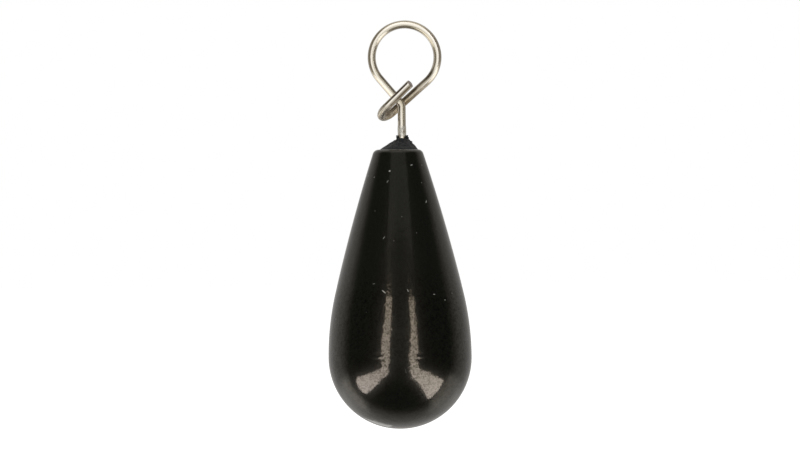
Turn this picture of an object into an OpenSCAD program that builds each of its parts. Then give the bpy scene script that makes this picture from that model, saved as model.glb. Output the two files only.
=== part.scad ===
// Teardrop drop-shot sinker: a lacquered tungsten weight that turns below a wire line clip.
// The origin is the centre of the clip's ring, +Z is up along the line and +Y runs through the ring.

/* [Weight] */
// Diameter of the finished weight at its widest place
body_d = 9.8; // [8:0.1:13]
// Length of the finished weight, from its top flat to its round foot
body_len = 19.1; // [17:0.1:26]
// Width of the top flat round the hole
rim_w = 0.15; // [0.05:0.01:0.6]
// Radius of the rounded edge round the top flat
top_edge_r = 0.4; // [0.25:0.05:0.6]
// Radius of the lower flank, as a share of the one arc that would reach the top
lower_flank_share = 0.598; // [0.45:0.001:0.9]
// Radius of the upper flank, as a share of the same arc
upper_flank_share = 3.78; // [1.5:0.02:8]

/* [Lacquer] */
// Thickness of the black coat
coat_t = 0.1; // [0.05:0.01:0.15]
// Thickness of the primer between the metal and the coat
primer_t = 0.03; // [0.02:0.01:0.05]

/* [Line clip] */
// Diameter of the clip's wire
wire_d = 0.55; // [0.45:0.01:0.6]
// Inner diameter of the clip's ring
ring_in_d = 3.95; // [3:0.05:6]
// Angle at which the ring's two legs cross
cross_angle = 88.6; // [75:0.1:105]
// Sideways lean of the ring, from upright
ring_lean = 4.2; // [0:0.1:8]
// Height of the crossing above the weight's top flat
shank_len = 3.09; // [2.2:0.01:6]
// Centre-line radius of the bend between the shank and the first leg
neck_bend_r = 0.62; // [0.4:0.02:0.9]
// How far the second leg runs on past the crossing
hook_reach = 0.84; // [0.7:0.02:1.5]
// Turn of the hook's bend, out of a plane square to the ring
hook_tilt = 26; // [10:1:40]
// Length of the hook's straight bar
bar_len = 2.3; // [1.4:0.05:3]
// Angle of the short bend that draws the bar towards the ring
bar_bend = 5.5; // [1:0.5:10]
// Gap between the hook and each wire that it passes
hook_gap = 0.04; // [0.02:0.01:0.15]

/* [Swivel] */
// How far the upset head on a wire's end stands out past the wire
head_step = 0.225; // [0.15:0.005:0.4]
// Thickness of that head
head_h = 0.4; // [0.25:0.05:0.6]
// Running gap all round a wire in the barrel's neck
neck_gap = 0.04; // [0.02:0.01:0.08]
// Wall of each neck
neck_wall = 0.16; // [0.1:0.01:0.25]
// Length of each neck, swaged in over a head
neck_len = 0.45; // [0.3:0.05:0.6]
// Gap between a head and the shoulder that holds it
head_gap = 0.03; // [0.02:0.01:0.1]
// Gap between a head and the wall round it
head_side_gap = 0.1; // [0.05:0.01:0.2]
// Wall of the barrel
barrel_wall = 0.2; // [0.15:0.01:0.3]
// Empty length between the two heads
head_spacing = 1.05; // [0.3:0.05:2]
// How far the upper neck stands out of the weight
neck_rise = 0.2; // [0.1:0.05:0.4]

/* [Anchor eye] */
// Inner diameter of the eye that the glue locks in
anchor_in_d = 0.6; // [0.5:0.02:0.8]
// Straight wire between the barrel and the eye's first bend
anchor_shank = 0.15; // [0.1:0.05:0.4]
// Centre-line radius of the eye's first bend
anchor_bend_r = 0.36; // [0.32:0.02:0.46]
// Angle between the eye's two legs
anchor_angle = 90; // [80:1:100]
// Gap between the eye's cut end and its first leg
anchor_gap = 0.1; // [0.05:0.01:0.15]

/* [Glue and hole] */
// How far off the hole's centre the swivel was glued in
swivel_offset = 0.28; // [0:0.01:0.4]
// Thinnest glue between the barrel and the hole
glue_wall = 0.06; // [0.03:0.01:0.3]
// Gap left for the bond between the glue and what it holds
bond_gap = 0.03; // [0.02:0.01:0.05]
// How far the hole goes on at full width below the anchor eye
hole_spare = 0.7; // [0.2:0.1:2]
// Angle of the drill's point
drill_angle = 118; // [90:1:140]
// How far the glue cone spreads past the rim of the hole
rim_lap = 0.02; // [0:0.01:0.1]
// Height of the glue cone
cone_h = 0.8; // [0.6:0.05:1.2]
// Gap between the glue and the turning wire
shank_gap = 0.04; // [0.02:0.01:0.06]
// Wall of the torn glue skin left round the shank
skin_wall = 0.08; // [0.05:0.01:0.15]
// Height of that skin above the cone
skin_h = 0.22; // [0.1:0.02:0.4]
// How far the cone's tip stands out past that skin
tip_lap = 0.06; // [0.02:0.01:0.2]

/* [Hidden] */

// Segments of a turned part, of a wire and of a small oblique form
turned_fn = 96;
wire_fn = 48;
oblique_fn = 32;
// Most that a straight step may leave an outline's arc
arc_error = 0.002;

// A bend is drawn a hair thinner than the straight wires, whose ends run into it
bend_thinning = 0.005;
wire_lap = 0.04;

// Clip: centre-line radius of its ring, and the crossing of its legs
ring_r = (ring_in_d + wire_d) / 2;
half_cross = cross_angle / 2;
cross_dist = ring_r / sin(half_cross);
leg_len = ring_r / tan(half_cross);
neck_lean = half_cross - ring_lean;
neck_tangent = neck_bend_r * tan(neck_lean / 2);

// Clip in depth: the ring's second half leans back, so that its leg passes behind the shank
pass_depth = wire_d + hook_gap;
back_lean = asin(pass_depth / (ring_r + cross_dist));
hook_depth = pass_depth + hook_reach * cos(half_cross) * sin(back_lean);
hook_r = (hook_depth + pass_depth) / (2 * cos(hook_tilt) * cos(back_lean));
bar_bend_r = 2 * wire_d;
// Turn of the bar's bend about the wire, so that it also brings the bar in towards the first leg
bar_turn = 50;

// Heights and sideways places, from the ring's centre
cross_z = -cross_dist * cos(ring_lean);
swivel_x = -cross_dist * sin(ring_lean);
body_x = swivel_x - swivel_offset;
top_z = cross_z - shank_len;

// Swivel: each neck runs on its wire, and the barrel closes over the heads
wire_r = wire_d / 2;
neck_hole_r = wire_r + neck_gap;
neck_r = neck_hole_r + neck_wall;
head_r = wire_r + head_step;
head_edge = head_step / 2;
cavity_r = head_r + head_side_gap;
barrel_r = cavity_r + barrel_wall;
// Length of the slope from a neck to the barrel's full width, inside and outside, at 45 degrees
cavity_shoulder = cavity_r - neck_hole_r;
barrel_shoulder = barrel_r - neck_r;
// A head stops where the cavity narrows to its own width
head_seat = neck_len + head_r - neck_hole_r + head_gap;
barrel_len = 2 * (head_seat + head_h) + head_spacing;
barrel_z = top_z + neck_rise - barrel_len;

// Anchor eye
anchor_r = anchor_in_d / 2 + wire_r;
anchor_half = anchor_angle / 2;
anchor_leg = anchor_r / tan(anchor_half);
anchor_tangent = anchor_bend_r * tan(anchor_half / 2);
anchor_tail = anchor_leg - anchor_gap - wire_r * (1 + abs(cos(anchor_angle))) / sin(anchor_angle);
anchor_len = anchor_shank + anchor_tangent + anchor_r / sin(anchor_half) + anchor_r + wire_r;

// Hole in the weight, and the glue that fills it
hole_r = barrel_r + swivel_offset + glue_wall + 2 * bond_gap;
hole_depth = barrel_len - neck_rise + anchor_len + hole_spare;
hole_tip = hole_r / tan(drill_angle / 2);
glue_r = hole_r - bond_gap;
skin_r = wire_r + shank_gap + skin_wall;

// Weight's outline: x outwards from its axis and y up from its widest place
body_r = body_d / 2;
top_h = body_len - body_r;
// Centre of the rounded edge, and the radius of the one arc that would run from it to the widest place
edge_c = [hole_r + rim_w, top_h - top_edge_r];
edge_in = body_r - edge_c.x;
full_arc_r = (pow(edge_in, 2) + pow(edge_c.y, 2) - pow(top_edge_r, 2)) / (2 * (edge_in - top_edge_r));
lower_r = lower_flank_share * full_arc_r;
upper_r = upper_flank_share * full_arc_r;
// The upper flank's arc touches the rounded edge and the lower arc, so a triangle gives its centre
lower_c = [body_r - lower_r, 0];
to_edge = edge_c - lower_c;
centre_dist = upper_r - lower_r;
centre_angle = acos((pow(norm(to_edge), 2) + pow(centre_dist, 2) - pow(upper_r - top_edge_r, 2))
  / (2 * norm(to_edge) * centre_dist));
flank_lean = atan2(to_edge.y, to_edge.x) + centre_angle - 180;
upper_c = lower_c - centre_dist * [cos(flank_lean), sin(flank_lean)];
edge_lean = asin((edge_c.y - upper_c.y) / (upper_r - top_edge_r));

// Points along an arc about c, after its first one
function arc(c, r, from, to) =
  let (steps = ceil(abs(to - from) / acos(1 - arc_error / r) / 2))
  [for (i = [1:steps]) let (a = from + (to - from) * i / steps) c + r * [cos(a), sin(a)]];

// Half outline of the weight from foot to top flat, drawn in by inset on all sides
function half_outline(inset) = concat(
  [[0, inset - body_r]],
  arc([0, 0], body_r - inset, -90, 0),
  arc(lower_c, lower_r - inset, 0, flank_lean),
  arc(upper_c, upper_r - inset, flank_lean, edge_lean),
  arc(edge_c, top_edge_r - inset, edge_lean, 90)
);

function reversed(points) = [for (i = [len(points) - 1:-1:0]) points[i]];

// Turns an outline about the weight's own axis
module turned(points) {
  translate([body_x, 0, top_z - top_h])
    rotate_extrude($fn = turned_fn) polygon(points);
}

module weight_body() {
  inset = coat_t + primer_t;
  color("dimgray") turned(concat(
    half_outline(inset),
    [[hole_r, top_h - inset], [hole_r, top_h - hole_depth], [0, top_h - hole_depth - hole_tip]]
  ));
}

module lacquer_coat() {
  color("black") turned(concat(
    half_outline(0),
    [[hole_r, top_h], [hole_r, top_h - coat_t]],
    reversed(half_outline(coat_t))
  ));
}

// A straight length of wire that laps its neighbours, with what follows it at its end
module straight(d, length, lap = wire_lap) {
  translate([0, 0, -wire_lap]) cylinder(d = d, h = wire_lap + length + lap, $fn = wire_fn);
  translate([0, 0, length]) children();
}

// A bend of the wire towards its own +X, with what follows it at its end
module bend(d, r, angle) {
  translate([r, 0, 0]) {
    rotate([90, 0, 180]) rotate_extrude(angle = angle, $fn = turned_fn)
      translate([r, 0]) circle(r = d / 2 - bend_thinning, $fn = wire_fn);
    rotate([0, angle, 0]) translate([-r, 0, 0]) children();
  }
}

// The upset head under the end of a wire, its top face at the height of the origin
module wire_head() {
  translate([0, 0, -head_h]) rotate_extrude($fn = wire_fn) polygon([
    [0, 0],
    [head_r - head_edge, 0],
    [head_r, head_edge],
    [head_r, head_h],
    [0, head_h],
  ]);
}

// Second half of the ring, the leg behind the shank, the hook and its bar
module clip_hook() {
  rotate([0, 0, back_lean])
    bend(wire_d, ring_r, 90 + half_cross)
      straight(wire_d, leg_len + hook_reach)
        rotate([0, 0, hook_tilt - 90])
          bend(wire_d, hook_r, 180)
            straight(wire_d, 0)
              rotate([0, 0, bar_turn])
                bend(wire_d, bar_bend_r, bar_bend)
                  straight(wire_d, bar_len, 0);
}

module line_clip() {
  head_z = barrel_z + barrel_len - head_seat;
  color("silver") translate([swivel_x, 0, head_z]) {
    wire_head();
    straight(wire_d, cross_z - neck_tangent - head_z)
      rotate([0, 0, 180])
        bend(wire_d, neck_bend_r, neck_lean)
          straight(wire_d, leg_len - neck_tangent)
            rotate([0, 0, 180])
              bend(wire_d, ring_r, 90 + half_cross)
                straight(wire_d, 0)
                  clip_hook();
  }
}

// Outside of the barrel, grown by grow on all sides
module barrel_outside(grow) {
  translate([swivel_x, 0, barrel_z]) rotate_extrude($fn = wire_fn) polygon([
    [0, -grow],
    [neck_r + grow, -grow],
    [neck_r + grow, neck_len - grow],
    [barrel_r + grow, neck_len + barrel_shoulder - grow],
    [barrel_r + grow, barrel_len - neck_len - barrel_shoulder + grow],
    [neck_r + grow, barrel_len - neck_len + grow],
    [neck_r + grow, barrel_len + grow],
    [0, barrel_len + grow],
  ]);
}

module swivel_barrel() {
  color("goldenrod") translate([swivel_x, 0, barrel_z]) rotate_extrude($fn = wire_fn) polygon([
    [neck_hole_r, 0],
    [neck_r, 0],
    [neck_r, neck_len],
    [barrel_r, neck_len + barrel_shoulder],
    [barrel_r, barrel_len - neck_len - barrel_shoulder],
    [neck_r, barrel_len - neck_len],
    [neck_r, barrel_len],
    [neck_hole_r, barrel_len],
    [neck_hole_r, barrel_len - neck_len],
    [cavity_r, barrel_len - neck_len - cavity_shoulder],
    [cavity_r, neck_len + cavity_shoulder],
    [neck_hole_r, neck_len],
  ]);
}

// The eye's wire in diameter d, down from its head and turned across the swivel's offset
module anchor_wire(d) {
  translate([swivel_x, 0, barrel_z + head_seat])
    rotate([180, 0, 90])
      straight(d, head_seat + anchor_shank)
        bend(d, anchor_bend_r, anchor_half)
          straight(d, anchor_leg - anchor_tangent)
            rotate([0, 0, 180])
              bend(d, anchor_r, 180 + anchor_angle)
                straight(d, anchor_tail, d / 2 - wire_r);
}

module anchor_eye() {
  color("silver") {
    anchor_wire(wire_d);
    translate([swivel_x, 0, barrel_z + head_seat]) rotate([180, 0, 0]) wire_head();
  }
}

// Glue that stands on the top flat: a cone that leans to the shank, and a torn skin round the wire
module glue_cone() {
  rim_r = hole_r + swivel_offset / 2 + rim_lap;
  translate([0, 0, top_z]) {
    hull() {
      translate([body_x + swivel_offset / 2, 0, 0]) cylinder(r = rim_r, h = bond_gap, $fn = oblique_fn);
      translate([swivel_x, 0, cone_h - bond_gap])
        cylinder(r = skin_r + tip_lap, h = bond_gap, $fn = oblique_fn);
    }
    translate([swivel_x, 0, 0]) cylinder(r = skin_r, h = cone_h + skin_h, $fn = wire_fn);
  }
}

module glue_plug() {
  color("darkslategray") difference() {
    union() {
      turned([
        [0, top_h + bond_gap / 2],
        [glue_r, top_h + bond_gap / 2],
        [glue_r, top_h - hole_depth + bond_gap],
        [0, top_h - hole_depth - hole_tip + bond_gap],
      ]);
      glue_cone();
    }
    barrel_outside(bond_gap);
    anchor_wire(wire_d + 2 * bond_gap);
    translate([swivel_x, 0, top_z])
      cylinder(r = skin_r - skin_wall, h = cone_h + 2 * skin_h, $fn = wire_fn);
  }
}

weight_body();
lacquer_coat();
glue_plug();
swivel_barrel();
anchor_eye();
line_clip();
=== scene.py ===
"""Visual model of a drop-shot sinker: a lacquered teardrop weight on a swivel below a wire line clip.

Every size in a class is in millimetres, every angle is in degrees where it isn't said otherwise, and every
mesh is in metres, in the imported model's own frame: the origin is the centre of the clip's ring, +Z is up
along the line and +Y runs through the ring, away from the camera.
"""

import logging
import math
from dataclasses import dataclass, field
from enum import Enum
from typing import Any, Callable, Sequence

import bmesh
import bpy
from mathutils import Matrix, Vector, noise


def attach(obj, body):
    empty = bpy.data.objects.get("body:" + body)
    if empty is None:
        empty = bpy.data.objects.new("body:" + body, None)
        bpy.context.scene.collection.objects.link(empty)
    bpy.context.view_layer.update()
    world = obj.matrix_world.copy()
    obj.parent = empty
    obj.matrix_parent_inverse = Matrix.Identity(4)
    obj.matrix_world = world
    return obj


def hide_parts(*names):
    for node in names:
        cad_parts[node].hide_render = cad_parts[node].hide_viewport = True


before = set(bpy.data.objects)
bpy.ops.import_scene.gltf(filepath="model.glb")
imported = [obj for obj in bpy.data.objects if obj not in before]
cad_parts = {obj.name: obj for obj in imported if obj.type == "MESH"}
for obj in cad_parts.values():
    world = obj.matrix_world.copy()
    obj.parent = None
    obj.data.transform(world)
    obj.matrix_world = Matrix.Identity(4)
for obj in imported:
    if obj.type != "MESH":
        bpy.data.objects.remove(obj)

LOG = logging.getLogger("sinker")
MM = 0.001
Colour = tuple[float, float, float]
Point2 = tuple[float, float]
# The start and the end of a range
Span = tuple[float, float]
# A range and what it becomes
Ramp = tuple[Span, Span]
# Nearly all values of a soft noise lie in this range
NOISE_SPAN: Span = (0.3, 0.7)
WHITE: Colour = (1.0, 1.0, 1.0)


class Rider(Enum):
    """The CAD body that a piece moves with."""

    CLIP = "clip"
    WEIGHT = "weight"


class Slot(Enum):
    """The record's material slot that a piece takes its finish from."""

    TUNGSTEN = "tungsten"
    LACQUER = "black_lacquer"
    GLUE = "glue"
    BRASS = "barrel_brass"
    WIRE = "clip_wire"


class GlossOn(Enum):
    """The pieces whose gloss shows a light panel."""

    WEIGHT = "gloss_on_weight"
    CLIP = "gloss_on_clip"


class Solid(Enum):
    """What is done with one solid to another."""

    JOIN = "UNION"
    CUT = "DIFFERENCE"


class Easing(Enum):
    """How one range is mapped onto another."""

    EVEN = "LINEAR"
    SOFT = "SMOOTHSTEP"


class WirePart(Enum):
    """The parts of the clip's wire above its straight shank, in order from its head."""

    NECK = "bend from the shank into the first leg"
    RING = "first half of the ring"
    CROWN = "second half of the ring"
    LEG = "second leg, as far as the hook"
    HOOK = "bend of the hook"
    BAR = "bar in front of the legs"
    TIP = "cut end of the bar"


# Node trees


class Shade:
    """A short way of writing one node tree."""

    def __init__(self, tree: bpy.types.NodeTree) -> None:
        """Empties the tree.

        Args:
            tree: The node tree of a material or of the world.
        """
        self.tree = tree
        tree.nodes.clear()

    def add(self, kind: str, sockets: dict[Any, Any] | None = None, **settings: Any) -> bpy.types.Node:
        """Adds a node.

        Args:
            kind: The node's type, without its leading ShaderNode.
            sockets: Input name or number to a value, or to the output socket that feeds it.
            **settings: Properties of the node.

        Returns:
            The new node.
        """
        made = self.tree.nodes.new("ShaderNode" + kind)
        for name, value in settings.items():
            setattr(made, name, value)
        for key, value in (sockets or {}).items():
            if isinstance(value, bpy.types.NodeSocket):
                self.tree.links.new(value, made.inputs[key])
            else:
                made.inputs[key].default_value = value
        return made

    def math(self, operation: str, *values: Any, clamp: bool = False) -> bpy.types.NodeSocket:
        """Adds a Math node.

        Args:
            operation: Its operation.
            *values: Numbers or sockets, in order.
            clamp: Whether the result stays between 0 and 1.

        Returns:
            The result's socket.
        """
        return self.add("Math", dict(enumerate(values)), operation=operation, use_clamp=clamp).outputs[0]

    def times(self, first: Any, second: Any) -> bpy.types.NodeSocket:
        """Returns the socket of the product."""
        return self.math("MULTIPLY", first, second)

    def plus(self, first: Any, second: Any) -> bpy.types.NodeSocket:
        """Returns the socket of the sum."""
        return self.math("ADD", first, second)

    def most(self, first: Any, second: Any) -> bpy.types.NodeSocket:
        """Returns the socket of the greater value."""
        return self.math("MAXIMUM", first, second)

    def vector(self, operation: str, *values: Any) -> bpy.types.Node:
        """Adds a Vector Math node.

        Args:
            operation: Its operation.
            *values: Vectors or sockets, in order.

        Returns:
            The node.
        """
        return self.add("VectorMath", dict(enumerate(values)), operation=operation)

    def scaled(self, way: Any, factor: Any) -> bpy.types.NodeSocket:
        """Returns the socket of a vector times a number."""
        return self.add("VectorMath", {0: way, "Scale": factor}, operation="SCALE").outputs[0]

    def remap(self, value: Any, span: Span, to: Span = (0.0, 1.0),
              easing: Easing = Easing.EVEN) -> bpy.types.NodeSocket:
        """Maps one range onto another and stays inside it.

        Args:
            value: The socket to map.
            span: Its range.
            to: What the range becomes.
            easing: How it is mapped.

        Returns:
            The result's socket.
        """
        sockets = dict(enumerate((value, *span, *to)))
        return self.add("MapRange", sockets, interpolation_type=easing.value).outputs[0]

    def mix(self, factor: Any, first: Any, second: Any) -> bpy.types.NodeSocket:
        """Mixes two colours.

        Args:
            factor: 0 gives the first and 1 the second.
            first: A colour with alpha, or a socket.
            second: A colour with alpha, or a socket.

        Returns:
            The mixed colour's socket.
        """
        # The node has sockets for every kind of data, and these are the ones for colours
        return self.add("Mix", {0: factor, 6: first, 7: second}, data_type="RGBA").outputs[2]

    def place(self) -> bpy.types.NodeSocket:
        """Returns the place on the object in millimetres."""
        return self.scaled(self.add("TexCoord").outputs["Object"], 1 / MM)

    def parts(self, way: Any) -> bpy.types.NodeOutputs:
        """Returns the sockets X, Y and Z of a vector."""
        return self.add("SeparateXYZ", {0: way}).outputs

    def stored(self, name: str) -> bpy.types.NodeSocket:
        """Returns the socket of a number that is stored on the mesh."""
        return self.add("Attribute", attribute_name=name).outputs["Fac"]

    def cloud(self, where: Any, per_mm: float, detail: float = 2.0,
              rough: float = 0.5) -> bpy.types.NodeSocket:
        """Adds a soft noise.

        Args:
            where: The place's socket.
            per_mm: How many lumps it has in a millimetre.
            detail: Its octaves.
            rough: How strong its finer octaves are.

        Returns:
            The noise's socket, about 0.5 on average.
        """
        sockets = {"Vector": where, "Scale": per_mm, "Detail": detail, "Roughness": rough}
        return self.add("TexNoise", sockets).outputs[0]

    def bump(self, height: Any, depth: float, below: Any = None) -> bpy.types.NodeSocket:
        """Adds a bump.

        Args:
            height: The height's socket, from 0 to 1.
            depth: How deep that range is, in millimetres.
            below: The normal's socket of a coarser bump under it.

        Returns:
            The normal's socket.
        """
        sockets = {"Height": height, "Distance": depth * MM, "Strength": 1.0}
        if below is not None:
            sockets["Normal"] = below
        return self.add("Bump", sockets).outputs[0]


def rgba(colour: Colour) -> tuple[float, float, float, float]:
    """Returns the colour with a full alpha."""
    return (*colour, 1.0)


def around(middle: float, reach: Span) -> Span:
    """Returns the range from the middle plus the reach's start to the middle plus its end."""
    return middle + reach[0], middle + reach[1]


def new_material(name: str) -> tuple[bpy.types.Material, Shade]:
    """Makes an empty node material.

    Args:
        name: Its name.

    Returns:
        The material and its node tree's Shade.
    """
    made = bpy.data.materials.new(name)
    made.use_nodes = True
    return made, Shade(made.node_tree)


def close_surface(shade: Shade, sockets: dict[str, Any]) -> None:
    """Ends a material with its shader.

    Args:
        shade: The material's node tree.
        sockets: The inputs of the Principled shader.
    """
    shader = shade.add("BsdfPrincipled", sockets)
    shade.add("OutputMaterial", {"Surface": shader.outputs[0]})


def close_sum(shade: Shade, first: bpy.types.Node, second: bpy.types.Node) -> None:
    """Ends a material with the sum of two shaders.

    Args:
        shade: The material's node tree.
        first: A shader.
        second: The other shader.
    """
    both = shade.add("AddShader", {0: first.outputs[0], 1: second.outputs[0]})
    shade.add("OutputMaterial", {"Surface": both.outputs[0]})


# Finishes


@dataclass(frozen=True)
class Fleck:
    """A fleck or short fibre stuck in the lacquer.

    Its turn counts in degrees from the front towards +X, and its height in millimetres above the widest
    place. Its slant is in degrees from level, and its shine is 1 where it is white. Its length is never 0,
    because its slant is a direction.
    """

    turn: float
    height: float
    long: float = 0.001
    slant: float = 0.0
    wide: float = 0.08
    shine: float = 0.6


@dataclass(frozen=True)
class LacquerFinish:
    """Baked black lacquer: glossy, with a fine orange peel, dull specks, dust and a few stuck fibres.

    Both fades are heights from the widest place. The sizes of the dust are shares of its spacing.
    """

    black: Colour = (0.0054, 0.0062, 0.0042)
    dust: Colour = (0.42, 0.42, 0.39)
    roughness: float = 0.075
    roughness_reach: Span = (-0.02, 0.04)
    dust_roughness: float = 0.5
    ior: float = 1.5
    grain_per_mm: float = 12.0
    grain_span: Span = (0.35, 0.7)
    grain_depth: float = 0.0016
    peel_per_mm: float = 2.2
    peel_depth: float = 0.009
    specks_per_mm: float = 12.5
    glossy_share: float = 0.3
    speck_dulling: float = 0.9
    upper_speck_dulling: float = 0.3
    upper_fade: Span = (4.0, 6.5)
    foot_speck_dulling: float = 0.6
    foot_fade: Span = (-1.6, -0.2)
    haze: float = 0.3
    haze_roughness: float = 0.32
    dust_per_mm: float = 1.3
    dustless_share: float = 0.55
    dust_size: float = 0.075
    dust_edge: float = 0.02
    dust_shine: Span = (0.08, 0.5)
    flecks: tuple[Fleck, ...] = (
        Fleck(-16, 12.7, wide=0.14, shine=1.0),
        Fleck(-68, 12.4, wide=0.1, shine=0.5),
        Fleck(-47, 12.3, wide=0.1, shine=0.5),
        Fleck(-18, 12.0, 0.14, 60, 0.09, 0.4),
        Fleck(27, 13.1, 0.1, 20, 0.1, 0.6),
        Fleck(54, 13.1, wide=0.08, shine=0.5),
        Fleck(42, 11.9, wide=0.08, shine=0.4),
        Fleck(43, 10.6, 0.2, 62, 0.07, 0.9),
        Fleck(-33, 10.0, wide=0.07, shine=0.4),
        Fleck(4, 9.6, wide=0.08, shine=0.3),
        Fleck(-17, 8.2, 0.22, 55, 0.06, 0.7),
        Fleck(21, 8.5, wide=0.07, shine=0.45),
        Fleck(-24, 5.1, 0.12, 10, 0.07, 0.35),
        Fleck(-14, 4.57, 0.28, -40, 0.08, 0.9),
        Fleck(7.5, 4.64, 0.16, 108, 0.07, 0.7),
        Fleck(32, 4.35, 0.1, 0, 0.08, 0.6),
        Fleck(43, 3.95, wide=0.1, shine=0.7),
        Fleck(70, 4.3, wide=0.09, shine=0.6),
        Fleck(-29, 3.2, wide=0.07, shine=0.4),
        Fleck(-67, 2.7, wide=0.09, shine=0.7),
        Fleck(4.5, -0.8, 0.4, 100, 0.06, 0.16),
        Fleck(6.5, -0.5, 0.2, 35, 0.05, 0.12),
        Fleck(-150, 9.2, 0.2, 30, 0.07, 0.7),
        Fleck(130, 6.3, wide=0.1, shine=0.6),
        Fleck(165, 11.4, 0.12, 70, 0.08, 0.7),
        Fleck(-105, 4.0, 0.18, -35, 0.06, 0.6),
        Fleck(100, 1.5, wide=0.09, shine=0.5),
    )

    def make(self, outline: "WeightShape", axis: Vector) -> bpy.types.Material:
        """Makes the lacquer.

        Args:
            outline: The weight's shape, on which the flecks lie.
            axis: The point on the weight's axis at its widest place.

        Returns:
            The material.
        """
        made, shade = new_material(Slot.LACQUER.value)
        where = shade.place()
        grain = shade.cloud(where, self.grain_per_mm, detail=1.0)
        peel = shade.cloud(where, self.peel_per_mm, detail=1.0)
        cells = shade.add("TexVoronoi", {"Vector": where, "Scale": self.specks_per_mm}).outputs["Color"]
        chance = shade.parts(cells)["X"]
        height = shade.parts(where)["Z"]
        upper = shade.remap(height, around(axis.z, self.upper_fade),
                            (self.speck_dulling, self.upper_speck_dulling))
        foot = shade.remap(height, around(axis.z, self.foot_fade),
                           (self.foot_speck_dulling, self.speck_dulling))
        dulling = shade.math("MINIMUM", upper, foot)
        # A black metal reflects less than lacquer does, so it gives the dull specks
        specks = shade.times(shade.remap(chance, (self.glossy_share, 1.0)), dulling)
        dust = self.loose_dust(shade, where)
        for fleck in self.flecks:
            dust = shade.most(dust, self.fleck_mask(shade, where, fleck, outline, axis))
        rough = shade.remap(grain, self.grain_span, around(self.roughness, self.roughness_reach))
        normal = shade.bump(peel, self.peel_depth)
        normal = shade.bump(grain, self.grain_depth, normal)
        close_surface(shade, {
            "Base Color": shade.mix(dust, rgba(self.black), rgba(self.dust)),
            "Roughness": shade.math("ADD", rough, shade.times(dust, self.dust_roughness), clamp=True),
            "Metallic": shade.times(specks, shade.math("SUBTRACT", 1.0, dust, clamp=True)),
            "IOR": self.ior,
            "Coat Weight": self.haze,
            "Coat Roughness": self.haze_roughness,
            "Normal": normal,
        })
        return made

    def loose_dust(self, shade: Shade, where: bpy.types.NodeSocket) -> bpy.types.NodeSocket:
        """Scatters fine dust of mixed sizes.

        Args:
            shade: The material's node tree.
            where: The place's socket, in millimetres.

        Returns:
            The mask's socket.
        """
        cells = shade.add("TexVoronoi", {"Vector": where, "Scale": self.dust_per_mm})
        chance = shade.parts(cells.outputs["Color"])
        size = shade.remap(chance["X"], (self.dustless_share, 1.0), (0.0, self.dust_size))
        inside = shade.math("SUBTRACT", size, cells.outputs["Distance"])
        dust = shade.remap(inside, (0.0, self.dust_edge))
        return shade.times(dust, shade.remap(chance["Y"], (0.0, 1.0), self.dust_shine))

    @staticmethod
    def fleck_mask(shade: Shade, where: bpy.types.NodeSocket, fleck: Fleck, outline: "WeightShape",
                   axis: Vector) -> bpy.types.NodeSocket:
        """Marks the points close to a fleck.

        Args:
            shade: The material's node tree.
            where: The place's socket, in millimetres.
            fleck: The fleck.
            outline: The weight's shape.
            axis: The point on the weight's axis at its widest place.

        Returns:
            The mask's socket: the fleck's shine on it and 0 away from it.
        """
        turn, slant = math.radians(fleck.turn), math.radians(fleck.slant)
        away = outline.radius_at(fleck.height)
        middle = axis + Vector((away * math.sin(turn), -away * math.cos(turn), fleck.height))
        run = (spoke(turn) * math.cos(slant) + Vector((0, 0, 1)) * math.sin(slant)) * fleck.long
        off = shade.vector("SUBTRACT", where, middle - run / 2).outputs[0]
        along = shade.math("DIVIDE", shade.vector("DOT_PRODUCT", off, run).outputs["Value"],
                           run.length_squared, clamp=True)
        gap = shade.vector("DISTANCE", off, shade.scaled(run, along)).outputs["Value"]
        return shade.remap(gap, (fleck.wide / 2, fleck.wide / 4), (0.0, fleck.shine))


@dataclass(frozen=True)
class GlueFinish:
    """Cured blue-black epoxy, matt and crumbly."""

    dark: Colour = (0.0042, 0.0072, 0.0110)
    pale: Colour = (0.0120, 0.0175, 0.0220)
    # Pale specks: partly the crumbs' own tone, partly painted glints
    crumb: Colour = (0.10, 0.115, 0.105)
    roughness: float = 0.52
    roughness_reach: Span = (-0.1, 0.15)
    ior: float = 1.45
    lumps_per_mm: float = 5.0
    lump_span: Span = (0.4, 0.68)
    lump_depth: float = 0.03
    crumbs_per_mm: float = 16.0
    crumb_glint_span: Span = (0.62, 0.7)
    crumb_depth: float = 0.01

    def make(self) -> bpy.types.Material:
        """Makes the glue.

        Returns:
            The material.
        """
        made, shade = new_material(Slot.GLUE.value)
        where = shade.place()
        lumps = shade.cloud(where, self.lumps_per_mm, detail=4.0, rough=0.65)
        crumbs = shade.cloud(where, self.crumbs_per_mm)
        colour = shade.mix(shade.remap(lumps, self.lump_span), rgba(self.dark), rgba(self.pale))
        close_surface(shade, {
            # Pale specks on the crumbs: partly their own tone, partly painted glints
            "Base Color": shade.mix(shade.remap(crumbs, self.crumb_glint_span), colour, rgba(self.crumb)),
            "Roughness": shade.remap(crumbs, NOISE_SPAN, around(self.roughness, self.roughness_reach)),
            "IOR": self.ior,
            "Normal": shade.bump(crumbs, self.crumb_depth, shade.bump(lumps, self.lump_depth)),
        })
        return made


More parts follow.
